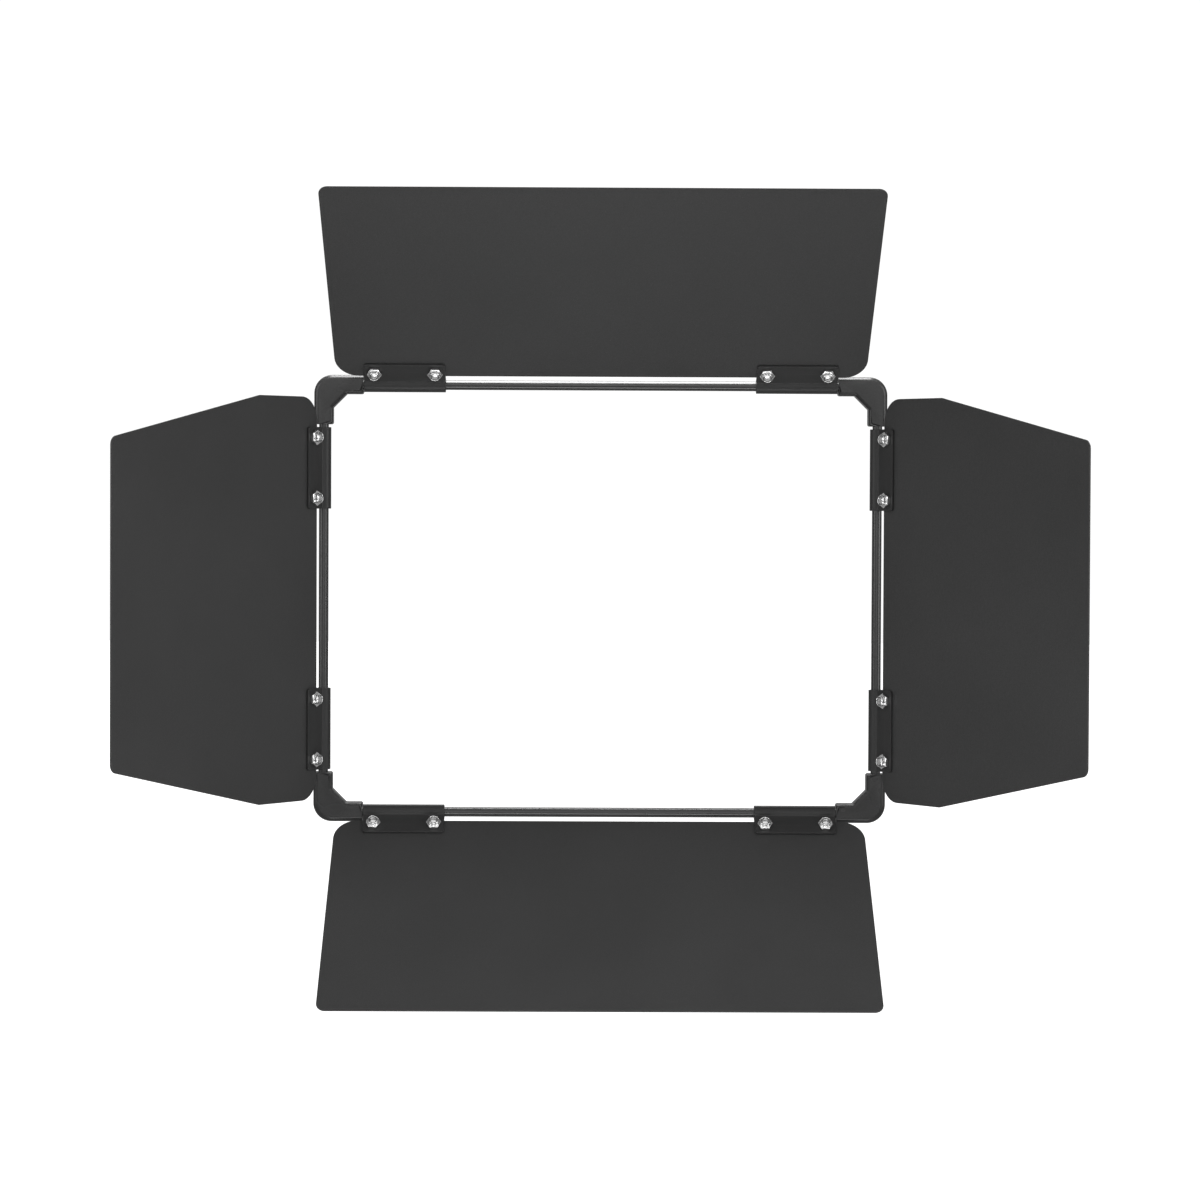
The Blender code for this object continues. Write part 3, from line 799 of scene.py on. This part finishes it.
FINISHES = {
    "leaf": powder_coat(
        "leaf_powder_coat",
        tone=0.031,
        grain_size=0.35 * MM,
        grain_depth=0.05 * MM,
        roughness=0.50,
        specular=0.30,
        wear=0.0,
    ),
    "clip": powder_coat(
        "clip_powder_coat",
        tone=0.023,
        grain_size=0.30 * MM,
        grain_depth=0.02 * MM,
        roughness=0.40,
        specular=0.26,
        wear=0.8,
    ),
    "elbow": powder_coat(
        "elbow_texture",
        tone=0.019,
        grain_size=0.40 * MM,
        grain_depth=0.03 * MM,
        roughness=0.25,
        specular=0.28,
        wear=0.8,
    ),
    "rod": rod_finish(),
    "screw": zinc("zinc_screw", 0.88, 0.26),
    "nut": zinc("zinc_nut", 0.95, 0.20),
    "nylon": nylon(),
    "set_screw": black_oxide(),
}


# Assembly


# Every visible piece, in the order that it was added.
PIECES = []


def add_piece(name, mesh, matrix, body, finish, node=None):
    """One visible piece that rides on a body and, if a node is named, stands for it."""
    if not mesh.materials:
        mesh.materials.append(FINISHES[finish])
    obj = add_object(name, mesh)
    obj.matrix_world = matrix
    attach(obj, body)
    if node:
        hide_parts(node)
    PIECES.append(obj)


def assemble_side(side, shared):
    """One side's rod, leaf, clips, screws and nuts."""
    hinge = HINGES[side]
    body = side + "_leaf_body"
    shape = wide_leaf if side in ("top", "bottom") else side_leaf
    add_piece(side + "_rod_fine", rod(side), hinge, "root", "rod", side + "_rod")
    add_piece(side + "_leaf_fine", shape(side), hinge, body, "leaf", side + "_leaf")
    for node in members(side, "clip"):
        shift = Matrix.Translation((middle(node, hinge).x, 0, 0))
        add_piece(node + "_fine", shared["clip"], hinge @ shift, body, "clip", node)
    for index, node in enumerate(members(side, "screw")):
        spot = Matrix.Translation((middle(node, hinge).x, SCREW_OUT, 0))
        turn = Matrix.Rotation(SCREW_TURN * (index + 1), 4, "Z")
        add_piece(node + "_fine", shared["screw"], hinge @ spot @ turn, body, "screw", node)
    for index, node in enumerate(members(side, "nut")):
        spot = Matrix.Translation((middle(node, hinge).x, SCREW_OUT, CLIP_FACE))
        turn = Matrix.Rotation(NUT_TURN * (index % 3 - 1), 4, "Z")
        add_piece(node + "_fine", shared["nut"], hinge @ spot @ turn, body, "nut", node)
        add_piece(node + "_nylon", shared["nylon"], hinge @ spot @ turn, body, "nylon")


def assemble_corner(corner, shared):
    """One corner's elbow and set screws."""
    crossing = ELBOWS[corner]
    add_piece(corner + "_elbow_fine", shared["elbow"], crossing, "root", "elbow", corner + "_elbow")
    for index, node in enumerate(members(corner, "set_screw")):
        spot = middle(node, crossing)
        backwards = Matrix.Translation((spot.x, spot.y, 0)) @ Matrix.Rotation(math.pi, 4, "X")
        turn = Matrix.Rotation(SCREW_TURN * (index + 2), 4, "Z")
        add_piece(node + "_fine", shared["set_screw"], crossing @ backwards @ turn, "root", "set_screw", node)


# Studio


def white_world():
    """White to the camera. To the object it is dim in front and nearly dark behind."""
    world = bpy.data.worlds.new("studio")
    world.use_nodes = True
    nodes = Nodes(world.node_tree)
    direction = nodes.node("ShaderNodeTexCoord").outputs["Generated"]
    to_front = {0: direction, 1: (0, -1, 0)}
    facing = nodes.node("ShaderNodeVectorMath", to_front, operation="DOT_PRODUCT").outputs["Value"]
    extra = nodes.ramp(facing, 0.0, 1.0, 0.0, AMBIENT_FRONT - AMBIENT_BACK)
    dim = nodes.math("ADD", extra, AMBIENT_BACK)
    strength = nodes.ramp(nodes.camera_ray(), 0.0, 1.0, dim, WHITE)
    backdrop = nodes.tree.nodes["Background"]
    backdrop.inputs["Color"].default_value = (1, 1, 1, 1)
    nodes.tree.links.new(strength, backdrop.inputs["Strength"])
    bpy.context.scene.world = world


def pale_floor():
    """A wide white floor below the object, bright enough to meet the white surroundings."""
    mesh = bpy.data.meshes.new("floor")
    bm = bmesh.new()
    bmesh.ops.create_grid(bm, x_segments=1, y_segments=1, size=FLOOR_HALF)
    bm.to_mesh(mesh)
    bm.free()
    shading = Shading("white_floor")
    shading.set("Base Color", (FLOOR_TONE, FLOOR_TONE, FLOOR_TONE, 1))
    shading.set("Roughness", 0.9)
    shading.set("Specular IOR Level", 0.1)
    shading.set("Emission Color", (1, 1, 1, 1))
    shading.set("Emission Strength", shading.math("MULTIPLY", shading.camera_ray(), WHITE))
    mesh.materials.append(shading.material)
    floor = add_object("floor", mesh)
    floor.location = (0, 0, cad_low.z - FLOOR_DROP)


def soft_light(centre, name, place, aim, width, height, power):
    """A soft panel of light at a place, aimed at a point, that the camera doesn't see."""
    light = bpy.data.lights.new(name, "AREA")
    light.shape = "RECTANGLE"
    light.size = width
    light.size_y = height
    light.energy = power
    obj = add_object(name, light)
    obj.location = centre + Vector(place)
    obj.rotation_euler = (Vector(aim) - Vector(place)).to_track_quat("-Z", "Y").to_euler()
    obj.visible_camera = False
    return obj


def light_only(light, pieces):
    """Makes a light shine on some pieces and not on the others."""
    receivers = bpy.data.collections.new(light.name + "_receivers")
    for piece in pieces:
        receivers.objects.link(piece)
    light.light_linking.receiver_collection = receivers


def camera(centre):
    """The camera in front of the middle of the rod frame, level but for small turns."""
    data = bpy.data.cameras.new("camera")
    data.sensor_width = SENSOR_WIDTH
    data.lens = SENSOR_WIDTH * CAMERA_DISTANCE / FIELD_AT_RODS
    data.clip_end = 100
    obj = add_object("camera", data)
    turns = (
        Matrix.Rotation(CAMERA_DOWN, 3, "X")
        @ Matrix.Rotation(CAMERA_TURN, 3, "Z")
        @ Matrix.Rotation(CAMERA_ROLL, 3, "Y")
    )
    right, ahead, up = turns
    matrix = Matrix((right, up, -ahead)).transposed().to_4x4()
    matrix.translation = centre + Vector((CAMERA_SIDE, -CAMERA_DISTANCE, CAMERA_HEIGHT))
    obj.matrix_world = matrix
    bpy.context.scene.camera = obj


def build():
    """The whole set, then its studio."""
    shared = {
        "clip": clip(),
        "screw": screw(),
        "nut": nut(),
        "nylon": nylon_ring(),
        "elbow": elbow(),
        "set_screw": set_screw(),
    }
    for side in SIDES:
        assemble_side(side, shared)
    for corner in CORNERS:
        assemble_corner(corner, shared)
    rods = (HINGES["top"].translation + HINGES["bottom"].translation) / 2
    white_world()
    pale_floor()
    for light in LIGHTS:
        soft_light(rods, *light)
    strip = soft_light(rods, *STRIP_LIGHT)
    light_only(strip, [piece for piece in PIECES if piece.active_material.name in STRIP_FINISHES])
    camera(rods)
    bpy.context.scene.view_settings.view_transform = "Standard"


build()
